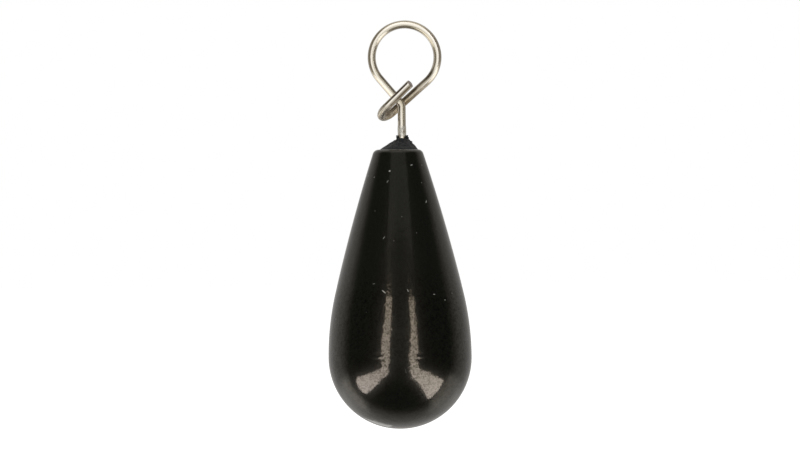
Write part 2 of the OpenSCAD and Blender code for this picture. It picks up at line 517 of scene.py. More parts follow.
@dataclass(frozen=True)
class WireFinish:
    """Bright drawn wire with a warm nickel plating, its drawing lines and a smear of glue at its foot.

    The drawing lines are fine round the wire and long along it, which the last of their numbers gives.
    """

    plating: Colour = (0.65, 0.62, 0.57)
    bar_plating: Colour = (0.66, 0.63, 0.61)
    tarnish: Colour = (0.36, 0.33, 0.25)
    # Brown painted shade where the second leg passes behind the bar, and at the neck
    painted_crossing_shade: Colour = (0.25, 0.18, 0.095)
    # Dark bands: partly drawing lines, mostly painted dark reflection
    score_and_painted_reflection: Colour = (0.085, 0.068, 0.045)
    cut: Colour = (0.42, 0.38, 0.37)
    smear: Colour = (0.56, 0.54, 0.47)
    roughness: float = 0.17
    roughness_reach: Span = (-0.04, 0.06)
    smear_roughness: float = 0.6
    cut_roughness: float = 0.5
    rubbed_roughness: float = 0.5
    patches_per_mm: float = 1.2
    patches_ramp: Ramp = ((0.55, 0.8), (0.0, 0.5))
    lines_per_mm: tuple[float, float, float] = (2.6, 2.6, 0.16)
    lines_ramp: Ramp = ((0.5, 0.66), (0.0, 0.8))
    line_depth: float = 0.0004
    smears_per_mm: float = 7.0
    smear_span: Span = (0.35, 0.5)
    crossing_shade_blotches_per_mm: float = 3.0
    crossing_shade_ramp: Ramp = ((0.35, 0.6), (0.6, 1.0))

    def make(self) -> bpy.types.Material:
        """Makes the wire's plating.

        Returns:
            The material.
        """
        made, shade = new_material(Slot.WIRE.value)
        where = shade.place()
        patches = shade.cloud(where, self.patches_per_mm, detail=3.0, rough=0.6)
        patches = shade.remap(patches, *self.patches_ramp)
        run = shade.add("Attribute", attribute_name="wire_run").outputs["Vector"]
        lines = shade.cloud(shade.vector("MULTIPLY", run, self.lines_per_mm).outputs[0], 1.0, detail=1.0)
        patches = shade.most(patches, shade.remap(lines, *self.lines_ramp))
        smear = shade.stored("glue_smear")
        smear = shade.times(smear, shade.remap(shade.cloud(where, self.smears_per_mm), self.smear_span))
        cut = shade.stored("wire_cut")
        plating = shade.mix(shade.stored("wire_bar"), rgba(self.plating), rgba(self.bar_plating))
        metal = shade.mix(patches, plating, rgba(self.tarnish))
        # Brown painted shade where the second leg passes behind the bar, broken into blotches
        painted_crossing_shade = shade.stored("wire_painted_crossing_shade")
        painted_crossing_shade = shade.times(painted_crossing_shade, shade.remap(shade.cloud(where, self.crossing_shade_blotches_per_mm), *self.crossing_shade_ramp))
        metal = shade.mix(painted_crossing_shade, metal, rgba(self.painted_crossing_shade))
        # Dark bands: partly drawing lines, mostly painted dark reflection
        metal = shade.mix(shade.stored("wire_score_and_painted_reflection"), metal, rgba(self.score_and_painted_reflection))
        metal = shade.mix(cut, metal, rgba(self.cut))
        rubbed = shade.stored("wire_rub")
        dull = shade.most(shade.times(smear, self.smear_roughness), shade.times(cut, self.cut_roughness))
        dull = shade.most(dull, shade.times(rubbed, self.rubbed_roughness))
        bright = around(self.roughness, self.roughness_reach)
        close_surface(shade, {
            "Base Color": shade.mix(smear, metal, rgba(self.smear)),
            "Metallic": shade.math("SUBTRACT", 1.0, smear),
            "Roughness": shade.most(shade.remap(lines, NOISE_SPAN, bright), dull),
            "Normal": shade.bump(lines, self.line_depth),
        })
        return made


@dataclass(frozen=True)
class BrassFinish:
    """Turned and swaged brass, with its turning marks level."""

    bright: Colour = (0.72, 0.55, 0.28)
    dull: Colour = (0.5, 0.36, 0.17)
    roughness: float = 0.28
    roughness_reach: Span = (-0.06, 0.1)
    rings_per_mm: tuple[float, float, float] = (0.3, 0.3, 14.0)
    ring_depth: float = 0.003
    patches_per_mm: float = 2.5

    def make(self) -> bpy.types.Material:
        """Makes the brass.

        Returns:
            The material.
        """
        made, shade = new_material(Slot.BRASS.value)
        where = shade.place()
        rings = shade.cloud(shade.vector("MULTIPLY", where, self.rings_per_mm).outputs[0], 1.0)
        patches = shade.cloud(where, self.patches_per_mm)
        close_surface(shade, {
            "Base Color": shade.mix(patches, rgba(self.bright), rgba(self.dull)),
            "Metallic": 1.0,
            "Roughness": shade.remap(rings, NOISE_SPAN, around(self.roughness, self.roughness_reach)),
            "Normal": shade.bump(rings, self.ring_depth),
        })
        return made


@dataclass(frozen=True)
class TungstenFinish:
    """Sintered tungsten, dull grey and finely grained."""

    pale: Colour = (0.34, 0.34, 0.35)
    dark: Colour = (0.24, 0.24, 0.25)
    roughness: float = 0.45
    roughness_reach: Span = (-0.08, 0.12)
    grain_per_mm: float = 12.0
    grain_depth: float = 0.006

    def make(self) -> bpy.types.Material:
        """Makes the tungsten.

        Returns:
            The material.
        """
        made, shade = new_material(Slot.TUNGSTEN.value)
        grain = shade.cloud(shade.place(), self.grain_per_mm, detail=3.0, rough=0.6)
        close_surface(shade, {
            "Base Color": shade.mix(grain, rgba(self.dark), rgba(self.pale)),
            "Metallic": 1.0,
            "Roughness": shade.remap(grain, NOISE_SPAN, around(self.roughness, self.roughness_reach)),
            "Normal": shade.bump(grain, self.grain_depth),
        })
        return made


# Meshes


def spoke(turn: float) -> Vector:
    """Returns the level direction at an angle in radians."""
    return Vector((math.cos(turn), math.sin(turn), 0))


def square_to(side: Vector, way: Vector) -> Vector:
    """Returns the direction nearest to a side that is square to a way."""
    return (side - way * side.dot(way)).normalized()


def clamped(value: float, least: float = 0.0) -> float:
    """Returns the value, but no less than the least and no more than 1."""
    return min(1.0, max(least, value))


def wave(where: Vector) -> float:
    """Returns a soft noise from 0 to 1 at a place."""
    return 0.5 + 0.5 * noise.noise(where)


def ring_faces(first: int, rings: int, sides: int) -> list[list[int]]:
    """Joins rings of points, each to the next, with faces of four corners.

    Args:
        first: Number of the first ring's first point.
        rings: How many rings there are.
        sides: Points in each ring.

    Returns:
        The faces.
    """
    faces = []
    for low in range(first, first + (rings - 1) * sides, sides):
        high = low + sides
        for i in range(sides):
            j = (i + 1) % sides
            faces.append([low + i, low + j, high + j, high + i])
    return faces


def new_piece(name: str, points: Sequence[Vector], faces: Sequence[Sequence[int]],
              finish: bpy.types.Material | None = None) -> bpy.types.Object:
    """Makes a smooth mesh object from points in millimetres.

    Args:
        name: Its name.
        points: Its points.
        faces: Its faces, as numbers of points.
        finish: Its material.

    Returns:
        The object, linked to the scene.
    """
    mesh = bpy.data.meshes.new(name)
    mesh.from_pydata([p * MM for p in points], [], faces)
    shell = bmesh.new()
    shell.from_mesh(mesh)
    bmesh.ops.recalc_face_normals(shell, faces=shell.faces)
    shell.to_mesh(mesh)
    shell.free()
    mesh.shade_smooth()
    if finish:
        mesh.materials.append(finish)
    made = bpy.data.objects.new(name, mesh)
    bpy.context.scene.collection.objects.link(made)
    return made


def turned(profile: Sequence[Point2], segments: int, axis: Vector,
           shift: Callable[[Vector], float] | None = None) -> tuple[list[Vector], list[list[int]]]:
    """Turns a half outline about an upright axis into a closed shell.

    Args:
        profile: Points as distance from the axis and height. Those at distance 0 become poles, and where
            neither end is one, the last point joins the first.
        segments: Steps round the axis.
        axis: A point on the axis, at height 0.
        shift: Gives how far a point off the axis moves inwards.

    Returns:
        The points and the faces.
    """
    points: list[Vector] = []
    rings: list[list[int]] = []
    for away, height in profile:
        if away == 0:
            rings.append([len(points)])
            points.append(axis + Vector((0, 0, height)))
            continue
        ring = []
        for i in range(segments):
            out = spoke(math.tau * i / segments)
            p = axis + out * away + Vector((0, 0, height))
            if shift:
                p -= out * shift(p)
            ring.append(len(points))
            points.append(p)
        rings.append(ring)
    pairs = list(zip(rings, rings[1:]))
    if len(rings[0]) > 1 and len(rings[-1]) > 1:
        pairs.append((rings[-1], rings[0]))
    faces: list[list[int]] = []
    for low, high in pairs:
        for i in range(segments):
            j = (i + 1) % segments
            if len(low) == 1:
                faces.append([low[0], high[j], high[i]])
            elif len(high) == 1:
                faces.append([low[i], low[j], high[0]])
            else:
                faces.append([low[i], low[j], high[j], high[i]])
    return points, faces


@dataclass
class WirePoint:
    """A place on a wire's centre line, with two directions square to the wire and to each other."""

    centre: Vector
    side: Vector
    front: Vector
    run: float

    @property
    def forward(self) -> Vector:
        """Direction in which the wire goes on."""
        return self.side.cross(self.front)

    def out(self, turn: float) -> Vector:
        """Returns the direction out of the wire at an angle round it, in radians."""
        return self.side * math.cos(turn) + self.front * math.sin(turn)


class WirePath:
    """Centre line of a bent wire, walked along its own +Z and bent towards its own +X."""

    def __init__(self, start: Matrix) -> None:
        """Starts the wire.

        Args:
            start: Place and direction of the wire's beginning.
        """
        self.place = start.copy()
        self.rolled = 0.0
        self.run = 0.0
        self.points: list[WirePoint] = []
        self.mark()

    def mark(self) -> None:
        """Keeps the present place as a point of the path."""
        level = self.place @ Matrix.Rotation(-self.rolled, 4, "Z")
        axes = level.to_3x3()
        centre = self.place.to_translation()
        self.points.append(WirePoint(centre, axes.col[0].copy(), axes.col[1].copy(), self.run))

    def roll(self, degrees: float) -> "WirePath":
        """Turns the direction of the next bend about the wire.

        Args:
            degrees: The turn.

        Returns:
            The path itself.
        """
        turn = math.radians(degrees)
        self.place = self.place @ Matrix.Rotation(turn, 4, "Z")
        self.rolled += turn
        return self

    def go(self, move: Matrix, length: float, count: int) -> "WirePath":
        """Makes the same move several times.

        Args:
            move: The move from one point to the next.
            length: How far they go in all.
            count: How many moves there are.

        Returns:
            The path itself.
        """
        for _ in range(count):
            self.place = self.place @ move
            self.run += length / count
            self.mark()
        return self

    def walk(self, length: float, step: float = 0.12) -> "WirePath":
        """Goes straight on.

        Args:
            length: How far.
            step: About how far apart the points are.

        Returns:
            The path itself.
        """
        count = max(1, round(length / step))
        return self.go(Matrix.Translation((0, 0, length / count)), length, count)

    def bend(self, radius: float, degrees: float, step: float = 0.1) -> "WirePath":
        """Bends the wire.

        Args:
            radius: The bend's radius at the wire's centre.
            degrees: How far it turns.
            step: About how far apart the points are.

        Returns:
            The path itself.
        """
        length = radius * math.radians(degrees)
        count = max(3, round(length / step))
        hub = Matrix.Translation((radius, 0, 0))
        turn = hub @ Matrix.Rotation(math.radians(degrees / count), 4, "Y") @ hub.inverted()
        return self.go(turn, length, count)


def drawn_wire(sections: Sequence[tuple[WirePoint, float]], sides: int,
               shift: Callable[[WirePoint, float], float] | None = None
               ) -> tuple[list[Vector], list[list[int]], list[Vector]]:
    """Builds the closed skin of a wire.

    Args:
        sections: Places along the wire, each with the wire's radius there.
        sides: Points round the wire.
        shift: Gives how far the skin moves out at a place and an angle round the wire.

    Returns:
        The points, the faces, and for each point its place round and along the wire.
    """
    points: list[Vector] = []
    runs: list[Vector] = []
    for place, radius in sections:
        for i in range(sides):
            turn = math.tau * i / sides
            far = radius + (shift(place, turn) if shift else 0.0)
            points.append(place.centre + place.out(turn) * far)
            runs.append(Vector((math.cos(turn), math.sin(turn), place.run)))
    faces = ring_faces(0, len(sections), sides)
    for k, (place, _) in ((0, sections[0]), (len(sections) - 1, sections[-1])):
        hub = len(points)
        points.append(place.centre.copy())
        runs.append(Vector((0, 0, place.run)))
        faces += [[hub, k * sides + (i + 1) % sides, k * sides + i] for i in range(sides)]
    return points, faces, runs


def keep_attribute(piece: bpy.types.Object, name: str, values: Sequence[float] | Sequence[Vector]) -> None:
    """Stores a number or a vector for each point of a mesh.

    Args:
        piece: The object.
        name: The attribute's name.
        values: One value for each point.
    """
    vectors = isinstance(values[0], Vector)
    layer = piece.data.attributes.new(name, "FLOAT_VECTOR" if vectors else "FLOAT", "POINT")
    for item, value in zip(layer.data, values):
        setattr(item, "vector" if vectors else "value", value)


def settle(piece: bpy.types.Object) -> None:
    """Applies a piece's modifiers to its mesh.

    Args:
        piece: The piece.
    """
    scene = bpy.context.evaluated_depsgraph_get()
    mesh = bpy.data.meshes.new_from_object(piece.evaluated_get(scene))
    piece.modifiers.clear()
    old, piece.data = piece.data, mesh
    mesh.name = piece.name
    bpy.data.meshes.remove(old)
    mesh.shade_smooth()


def combine(piece: bpy.types.Object, other: bpy.types.Object, what: Solid) -> None:
    """Joins another solid to a piece, or cuts it out, and drops the other.

    Args:
        piece: The piece that stays.
        other: The other solid.
        what: What is done with the other.
    """
    change = piece.modifiers.new("combine", "BOOLEAN")
    change.operation = what.value
    change.solver = "MANIFOLD"
    change.object = other
    settle(piece)
    bpy.data.objects.remove(other)


def ride(piece: bpy.types.Object, rider: Rider, slot: Slot, *nodes: str) -> None:
    """Sets what a piece moves with and hides the CAD nodes that it stands for.

    Args:
        piece: The piece.
        rider: The body that it rides on.
        slot: Its material slot. It is not used.
        *nodes: The CAD nodes that it replaces.
    """
    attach(piece, rider.value)
    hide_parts(*nodes)
    LOG.info("%s: %d faces, rides on %s", piece.name, len(piece.data.polygons), rider.value)


def dress_node(node: str, finish: bpy.types.Material) -> None:
    """Gives a CAD node that stays its finish.

    Args:
        node: The node's name.
        finish: Its material.
    """
    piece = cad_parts[node]
    if not piece.material_slots:
        piece.data.materials.append(finish)
    for slot in piece.material_slots:
        slot.material = finish
    LOG.info("%s: the CAD solid stays, in %s", node, finish.name)


# The sinker


@dataclass(frozen=True)
class ClipShape:
    """Sizes of the bent wire and of the swivel that it turns in, as in the CAD source."""

    wire_r: float = 0.275
    ring_r: float = 2.25
    half_cross: float = 44.3
    ring_lean: float = 4.2
    shank_len: float = 3.09
    neck_bend_r: float = 0.62
    hook_reach: float = 0.84
    hook_tilt: float = 26.0
    hook_gap: float = 0.04
    bar_len: float = 2.3
    bar_bend: float = 5.5
    bar_turn: float = 50.0
    head_r: float = 0.5
    head_h: float = 0.4
    head_seat: float = 0.665
    neck_rise: float = 0.2
    barrel_len: float = 3.18

    @property
    def cross_dist(self) -> float:
        """Distance from the ring's centre to the crossing of its legs."""
        return self.ring_r / math.sin(math.radians(self.half_cross))

    @property
    def leg_len(self) -> float:
        """Length of a leg from the ring's arc to the crossing."""
        return self.ring_r / math.tan(math.radians(self.half_cross))

    @property
    def cross_z(self) -> float:
        """Height of the crossing."""
        return -self.cross_dist * math.cos(math.radians(self.ring_lean))

    @property
    def swivel_x(self) -> float:
        """Sideways place of the shank and the swivel."""
        return -self.cross_dist * math.sin(math.radians(self.ring_lean))

    @property
    def top_z(self) -> float:
        """Height of the weight's top flat."""
        return self.cross_z - self.shank_len

    @property
    def barrel_z(self) -> float:
        """Height of the swivel barrel's lower end."""
        return self.top_z + self.neck_rise - self.barrel_len

    @property
    def head_z(self) -> float:
        """Height of the top face of the wire's head."""
        return self.barrel_z + self.barrel_len - self.head_seat


@dataclass(frozen=True)
class WeightShape:
    """Sizes of the teardrop, as in the CAD source, and of the lacquer's unevenness.

    Its heights count from its widest place. The skin has finer steps over a belt there, which starts below
    it, at an angle in radians on the foot's ball, and ends above it, at a height.
    """

    body_r: float = 4.9
    length: float = 19.1
    hole_r: float = 1.2
    rim_w: float = 0.15
    edge_r: float = 0.4
    lower_share: float = 0.598
    upper_share: float = 3.78
    swivel_offset: float = 0.28
    belt_start: float = -0.06
    belt_end: float = 0.6
    belt_steps: Span = (0.02, 0.025)
    edge_step: float = 0.04
    scuff_rise: float = 0.2
    scuff_depth: float = 0.029
    scuff_w: float = 0.115
    scuff_spread: float = 5.0
    scuff_turns: tuple[float, ...] = (-16.0, 14.5)
    scuff_half: float = 5.5
    wave_depth: float = 0.004
    waves_per_mm: float = 0.55

    @property
    def top_h(self) -> float:
        """Height of the top flat."""
        return self.length - self.body_r

    def outline(self, inset: float = 0.0, step: float = 0.11) -> list[Point2]:
        """Draws the half outline from the foot to the top flat.

        Args:
            inset: How far it is drawn in on all sides.
            step: About how far apart its points are.

        Returns:
            Points as distance from the axis and height.
        """
        edge = Vector((self.hole_r + self.rim_w, self.top_h - self.edge_r))
        inwards = self.body_r - edge.x
        full = (inwards**2 + edge.y**2 - self.edge_r**2) / (2 * (inwards - self.edge_r))
        low_r, high_r = self.lower_share * full, self.upper_share * full
        ball_c, low_c = Vector((0, 0)), Vector((self.body_r - low_r, 0))
        to_edge = edge - low_c
        apart = high_r - low_r
        corner = math.acos((to_edge.length_squared + apart**2 - (high_r - self.edge_r)**2)
                           / (2 * to_edge.length * apart))
        lean = math.atan2(to_edge.y, to_edge.x) + corner - math.pi
        high_c = low_c - apart * Vector((math.cos(lean), math.sin(lean)))
        edge_lean = math.asin((edge.y - high_c.y) / (high_r - self.edge_r))
        belt_end = self.belt_end / low_r
        points: list[Point2] = [(0.0, inset - self.body_r)]
        for centre, radius, start, end, fine in (
            (ball_c, self.body_r, -math.pi / 2, self.belt_start, step),
            (ball_c, self.body_r, self.belt_start, 0.0, self.belt_steps[0]),
            (low_c, low_r, 0.0, belt_end, self.belt_steps[1]),
            (low_c, low_r, belt_end, lean, step),
            (high_c, high_r, lean, edge_lean, step),
            (edge, self.edge_r, edge_lean, math.pi / 2, self.edge_step),
        ):
            r = radius - inset
            count = max(2, round(radius * (end - start) / fine))
            for i in range(1, count + 1):
                a = start + (end - start) * i / count
                points.append((centre.x + r * math.cos(a), centre.y + r * math.sin(a)))
        return points

    def radius_at(self, height: float) -> float:
        """Gives the outline's distance from the axis at a height.

        Args:
            height: Height above the widest place.

        Returns:
            The distance.
        """
        points = self.outline()
        for low, high in zip(points, points[1:]):
            if low[1] <= height < high[1]:
                return low[0] + (high[0] - low[0]) * (height - low[1]) / (high[1] - low[1])
        return 0.0

    def dip(self, height: float, turn: float) -> float:
        """Gives how far the lacquer dips beside the two short scuffs just above the widest place.

        Args:
            height: Height above the widest place.
            turn: Degrees round the axis, from the front towards +X.

        Returns:
            The depth of the dip.
        """
        away = (height - self.scuff_rise) / self.scuff_w
        along = max(math.exp(-((turn - middle) / self.scuff_half)**2) for middle in self.scuff_turns)
        return self.scuff_depth * along * (math.exp(-away * away / self.scuff_spread)
                                           - math.exp(-away * away))


@dataclass
class LacqueredWeight:
    """The tungsten core and the black coat over it."""

    shape: WeightShape
    axis_x: float
    widest_z: float
    coat_t: float = 0.1
    inner_step: float = 0.3
    segments: int = 240

    def shift(self, p: Vector) -> float:
        """Gives how far the coat's skin lies in from its outline: its scuffs and its slight unevenness.

        Args:
            p: A point of the outline.

        Returns:
            The distance.
        """
        shape = self.shape
        axis = Vector((self.axis_x, 0, self.widest_z))
        turn = math.degrees(math.atan2(p.x - axis.x, axis.y - p.y))
        return shape.dip(p.z - self.widest_z, turn) + shape.wave_depth * wave(p * shape.waves_per_mm)

    def build_coat(self, finish: bpy.types.Material) -> bpy.types.Object:
        """Builds the coat.

        Args:
            finish: The lacquer.

        Returns:
            The coat.
        """
        shape = self.shape
        rim = [(shape.hole_r, shape.top_h), (shape.hole_r, shape.top_h - self.coat_t)]
        inner = list(reversed(shape.outline(self.coat_t, self.inner_step)))
        axis = Vector((self.axis_x, 0, self.widest_z))
        points, faces = turned(shape.outline() + rim + inner, self.segments, axis, self.shift)
        return new_piece("coat_skin", points, faces, finish)

    def dress(self, coat: bpy.types.Object, tungsten: bpy.types.Material) -> None:
        """Sets what the coat rides on and gives the core its finish.

        Args:
            coat: The coat.
            tungsten: The core's finish.
        """
        ride(coat, Rider.WEIGHT, Slot.LACQUER, "lacquer_coat")
        dress_node("weight_body", tungsten)


@dataclass
class Swivel:
    """The brass barrel, and the headed eye that the glue locks in."""

    clip: ClipShape
    neck_r: float = 0.475
    neck_len: float = 0.45
    barrel_r: float = 0.8
    barrel_segments: int = 64
    anchor_r: float = 0.575
    anchor_shank: float = 0.15
    anchor_bend_r: float = 0.36
    anchor_half: float = 45.0
    anchor_tail: float = 0.2
    anchor_sides: int = 24

    def outside(self, grow: float) -> bpy.types.Object:
        """Builds the barrel's outside as a solid, grown on all sides.

        Args:
            grow: How much it grows.

        Returns:
            A solid to cut with.
        """
        slope = self.barrel_r - self.neck_r
        long = self.clip.barrel_len
        half = [
            (0.0, -grow),
            (self.neck_r + grow, -grow),
            (self.neck_r + grow, self.neck_len - grow),
            (self.barrel_r + grow, self.neck_len + slope - grow),
            (self.barrel_r + grow, long - self.neck_len - slope + grow),
            (self.neck_r + grow, long - self.neck_len + grow),
            (self.neck_r + grow, long + grow),
            (0.0, long + grow),
        ]
        axis = Vector((self.clip.swivel_x, 0, self.clip.barrel_z))
        return new_piece("barrel_outside", *turned(half, self.barrel_segments, axis))

    def anchor_outside(self, grow: float) -> bpy.types.Object:
        """Builds the anchor eye's wire as a solid, grown on all sides.

        Args:
            grow: How much it grows.

        Returns:
            A solid to cut with.
        """
        clip = self.clip
        start = (Matrix.Translation((clip.swivel_x, 0, clip.barrel_z + clip.head_seat))
                 @ Matrix.Rotation(math.radians(90), 4, "Z") @ Matrix.Rotation(math.pi, 4, "X"))
        leg = self.anchor_r / math.tan(math.radians(self.anchor_half))
        tangent = self.anchor_bend_r * math.tan(math.radians(self.anchor_half / 2))
        path = WirePath(start)
        path.walk(clip.head_seat + self.anchor_shank).bend(self.anchor_bend_r, self.anchor_half)
        path.walk(leg - tangent).roll(180)
        path.bend(self.anchor_r, 180 + 2 * self.anchor_half).walk(self.anchor_tail + grow)
        sections = [(place, clip.wire_r + grow) for place in path.points]
        points, faces, _ = drawn_wire(sections, self.anchor_sides)
        return new_piece("anchor_outside", points, faces)

    @staticmethod
    def dress(brass: bpy.types.Material, wire: bpy.types.Material) -> None:
        """Gives the barrel and the anchor eye their finishes.

        Args:
            brass: The barrel's finish.
            wire: The eye's finish.
        """
        dress_node("swivel_barrel", brass)
        dress_node("anchor_eye", wire)


@dataclass(frozen=True)
class Lump:
    """A crumb of glue on the cone.

    Its turn counts in degrees round the shank, and its height from the weight's top flat.
    """

    turn: float
    away: float
    height: float
    radius: float


@dataclass
class GlueFill:
    """The epoxy that fills the hole round the swivel and stands on the weight as a rough cone.

    The numbers named round, up and per_mm say how finely its skin changes, and a seed picks the pattern.
    """

    clip: ClipShape
    shape: WeightShape
    hole_depth: float = 5.642
    drill_half: float = 59.0
    bond_gap: float = 0.03
    plug_segments: int = 96
    base_r: float = 1.33
    base_shift: float = 0.06
    cone_h: float = 0.74
    tip_r: float = 0.40
    cone_sides: int = 72
    cone_steps: int = 22
    cone_lumps_round: float = 1.6
    cone_lumps_up: float = 2.2
    cone_seed: float = 3.0
    cone_uneven: float = 0.05
    cone_uneven_foot: float = 0.4
    cone_uneven_h: float = 0.06
    shank_gap: float = 0.04
    way_span: Span = (0.05, 1.6)
    way_segments: int = 48
    voxel: float = 0.028
    skin_fade: float = 0.2
    # How finely each roughness changes, per millimetre, and its depth
    skin_noises: tuple[Point2, ...] = ((3.5, 0.045), (11.0, 0.016))
    lump_uneven: float = 0.25
    lump_uneven_per_mm: float = 9.0
    lump_seed_per_mm: float = 5.0
    lumps: tuple[Lump, ...] = (
        Lump(196.0, 0.35, 0.90, 0.07),
        Lump(212.0, 0.36, 0.80, 0.09),
        Lump(236.0, 0.38, 0.70, 0.09),
        Lump(258.0, 0.39, 0.64, 0.08),
        Lump(346.0, 0.36, 0.94, 0.07),
        Lump(328.0, 0.37, 0.84, 0.08),
        Lump(356.0, 0.38, 0.78, 0.09),
        Lump(308.0, 0.39, 0.70, 0.09),
        Lump(286.0, 0.39, 0.66, 0.08),
        Lump(344.0, 0.52, 0.60, 0.08),
        Lump(352.0, 0.64, 0.50, 0.09),
        Lump(328.0, 0.74, 0.42, 0.08),
        Lump(190.0, 0.52, 0.58, 0.09),
        Lump(204.0, 0.66, 0.46, 0.09),
        Lump(32.0, 0.42, 0.78, 0.10),
        Lump(64.0, 0.40, 0.86, 0.09),
        Lump(104.0, 0.40, 0.80, 0.10),
        Lump(146.0, 0.41, 0.84, 0.09),
        Lump(120.0, 0.72, 0.44, 0.09),
    )

    def cone_skin(self, shank: Vector) -> tuple[list[Vector], list[list[int]]]:
        """Draws the cone without its crumbs.

        Args:
            shank: The point on the shank's axis at the weight's top flat.

        Returns:
            The points and the faces.
        """
        base = Vector((self.clip.swivel_x - self.shape.swivel_offset + self.base_shift, 0, shank.z))
        points: list[Vector] = [base.copy()]
        sides, across = self.cone_sides, self.cone_lumps_round
        for k in range(self.cone_steps + 1):
            t = k / self.cone_steps
            centre = base.lerp(shank, t)
            for i in range(sides):
                out = spoke(math.tau * i / sides)
                up = t * self.cone_lumps_up + self.cone_seed
                rough = noise.noise(Vector((out.x * across, out.y * across, up)))
                push = self.cone_uneven * rough * (self.cone_uneven_foot + t)
                far = self.base_r + (self.tip_r - self.base_r) * t + push
                rise = self.cone_h * t * (1 + self.cone_uneven_h * rough)
                points.append(centre + out * far + Vector((0, 0, rise)))
        tip = len(points)
        top = tip - sides
        points.append(shank + Vector((0, 0, self.cone_h)))
        faces = ring_faces(1, self.cone_steps + 1, sides)
        faces += [[0, 1 + (i + 1) % sides, 1 + i] for i in range(sides)]
        faces += [[tip, top + i, top + (i + 1) % sides] for i in range(sides)]
        return points, faces

    def cone(self) -> bpy.types.Object:
        """Builds the cone and its crumbs as one ragged skin.

        Returns:
            The cone, closed, with a flat underside on the weight.
        """
        flat = self.clip.top_z
        shank = Vector((self.clip.swivel_x, 0, flat))
        made = new_piece("glue_fill", *self.cone_skin(shank))
        skin = bmesh.new()
        skin.from_mesh(made.data)
        for lump in self.lumps:
            turn = math.radians(lump.turn)
            spot = shank + Vector((math.cos(turn) * lump.away, math.sin(turn) * lump.away, lump.height))
            ball = bmesh.ops.create_icosphere(skin, subdivisions=2, radius=lump.radius * MM)["verts"]
            for v in ball:
                rough = noise.noise(v.co / MM * self.lump_uneven_per_mm + spot * self.lump_seed_per_mm)
                v.co = v.co * (1 + self.lump_uneven * rough) + spot * MM
        skin.to_mesh(made.data)
        skin.free()
        fuse = made.modifiers.new("fuse", "REMESH")
        fuse.mode = "VOXEL"
        fuse.voxel_size = self.voxel * MM
        settle(made)
        self.roughen(made, flat)
        return made

    def roughen(self, made: bpy.types.Object, flat: float) -> None:
        """Roughens the cone's skin and keeps its underside on the weight's top flat.

        Args:
            made: The cone.
            flat: Height of the top flat.
        """
        for v in made.data.vertices:
            p = v.co / MM
            above = p.z - flat
            if above < self.voxel:
                p.z = flat
                v.co = p * MM
                continue
            push = sum(noise.noise(p * per_mm) * depth for per_mm, depth in self.skin_noises)
            v.co = (p + v.normal * push * min(1.0, above / self.skin_fade)) * MM

    def plug(self) -> bpy.types.Object:
        """Builds the plug that fills the drilled hole.

        Returns:
            The plug, which reaches a little above the top flat, into the cone.
        """
        glue_r = self.shape.hole_r - self.bond_gap
        foot = -self.hole_depth - self.shape.hole_r / math.tan(math.radians(self.drill_half))
        half = [
            (0.0, foot + self.bond_gap),
            (glue_r, -self.hole_depth + self.bond_gap),
            (glue_r, self.bond_gap / 2),
            (0.0, self.bond_gap / 2),
        ]
        axis = Vector((self.clip.swivel_x - self.shape.swivel_offset, 0, self.clip.top_z))
        return new_piece("plug", *turned(half, self.plug_segments, axis))

    def shank_way(self) -> bpy.types.Object:
        """Builds the way that the turning shank needs through the cone.

        Returns:
            A solid to cut with.
        """
        r = self.clip.wire_r + self.shank_gap
        low, high = self.way_span
        axis = Vector((self.clip.swivel_x, 0, self.clip.top_z))
        half = [(0.0, low), (r, low), (r, high), (0.0, high)]
        return new_piece("shank_way", *turned(half, self.way_segments, axis))

    def build(self, swivel: Swivel, finish: bpy.types.Material) -> bpy.types.Object:
        """Builds the whole fill: cone and plug in one, with room for what it holds.

        Args:
            swivel: What the glue holds.
            finish: The glue.

        Returns:
            The fill.
        """
        held = swivel.outside(self.bond_gap)
        combine(held, swivel.anchor_outside(self.bond_gap), Solid.JOIN)
        combine(held, self.shank_way(), Solid.JOIN)
        made = self.cone()
        combine(made, self.plug(), Solid.JOIN)
        combine(made, held, Solid.CUT)
        made.data.materials.clear()
        made.data.materials.append(finish)
        return made

    @staticmethod
    def dress(made: bpy.types.Object) -> None:
        """Sets what the fill rides on."""
        ride(made, Rider.WEIGHT, Slot.GLUE, "glue_plug")


@dataclass(frozen=True)
class ScoreAndPaintedReflection:
    """A dark band on one side of the wire: partly a line from drawing and bending, mostly painted dark
    reflection.

    It starts and ends at a distance on from where a part of the wire begins. Its side is a direction, and
    its width is in degrees round the wire. Where its darkness is above 1, its thin places stay dark too.
    """

    start: tuple[WirePart, float]
    end: tuple[WirePart, float]
    side: Colour
    wide: float
    dark: float


